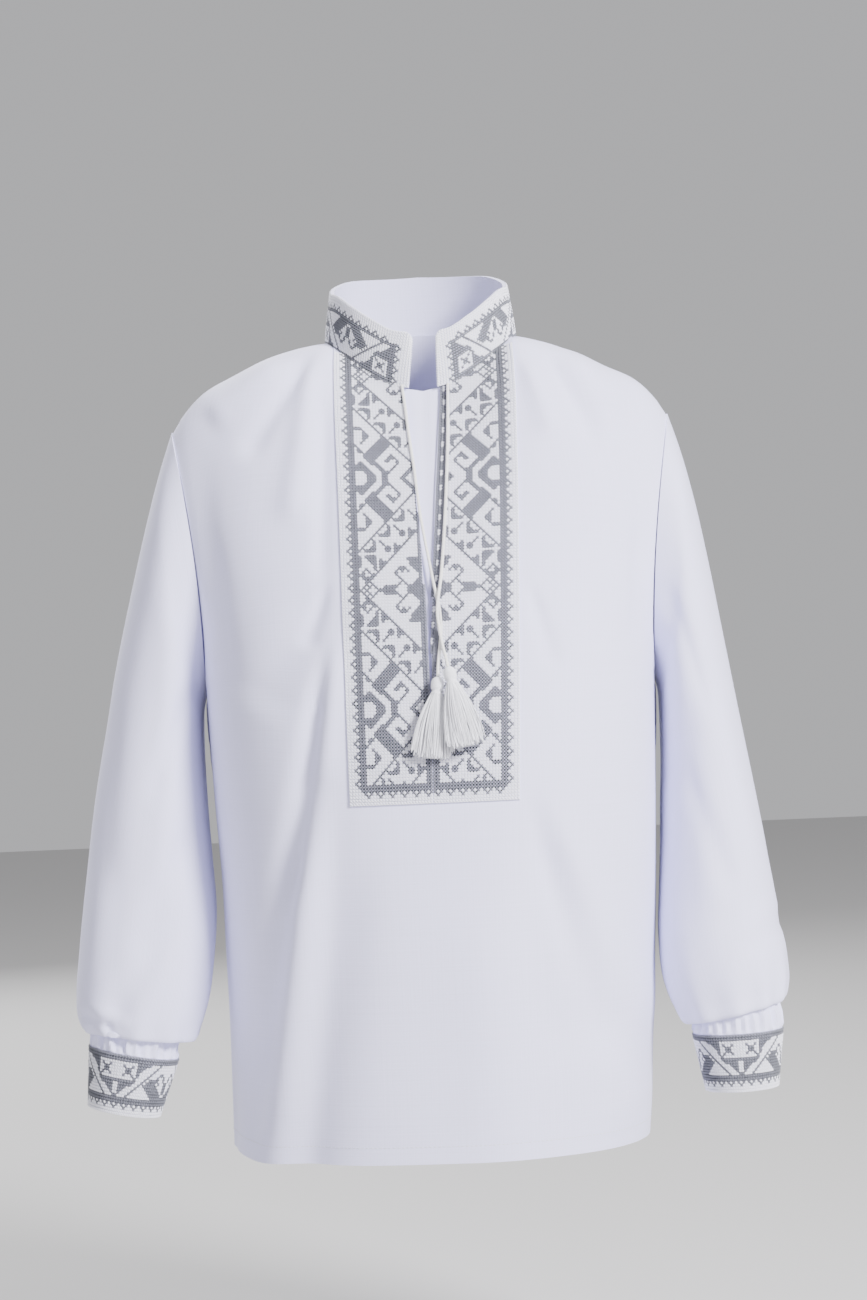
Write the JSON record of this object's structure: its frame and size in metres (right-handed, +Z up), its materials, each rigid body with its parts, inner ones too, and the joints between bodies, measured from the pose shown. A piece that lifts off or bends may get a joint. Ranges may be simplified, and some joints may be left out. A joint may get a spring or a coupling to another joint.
{
  "type": "vyshyvanka shirt",
  "caption": "Child's long-sleeved embroidered shirt in its worn form: stand collar, slit front with stitched bib halves, tied cords with tassels, gathered cuffs.",
  "frame": {"origin": "at the base of the neck between the shoulders, where the wearer holds the shirt up: z = 0 at the side of the neck, y = 0 in the plane of the side and shoulder seams, x = 0 in the middle", "axes": "+Z up, -Y towards the front, +X to the right as seen from the front"},
  "size_m": [0.4205, 0.2197, 0.5216],
  "materials": {
    "white_cloth": "plain-woven white shirting",
    "embroidery": "cross stitch in grey and white thread",
    "button": "glossy white",
    "cord": "twisted cord",
    "tassel_thread": "lustrous thread"
  },
  "bodies": {
    "root": {"front": "white_cloth", "back": "white_cloth", "sleeve_left": "white_cloth", "sleeve_right": "white_cloth", "slit_guard": "white_cloth", "collar": "embroidery", "bib_left": "embroidery", "bib_right": "embroidery", "cuff_left": "embroidery", "cuff_right": "embroidery", "cuff_button_left": "button", "cuff_button_right": "button", "tie_left": "cord", "tie_right": "cord", "tassel_left": "tassel_thread", "tassel_right": "tassel_thread"}
  },
  "joints": []
}
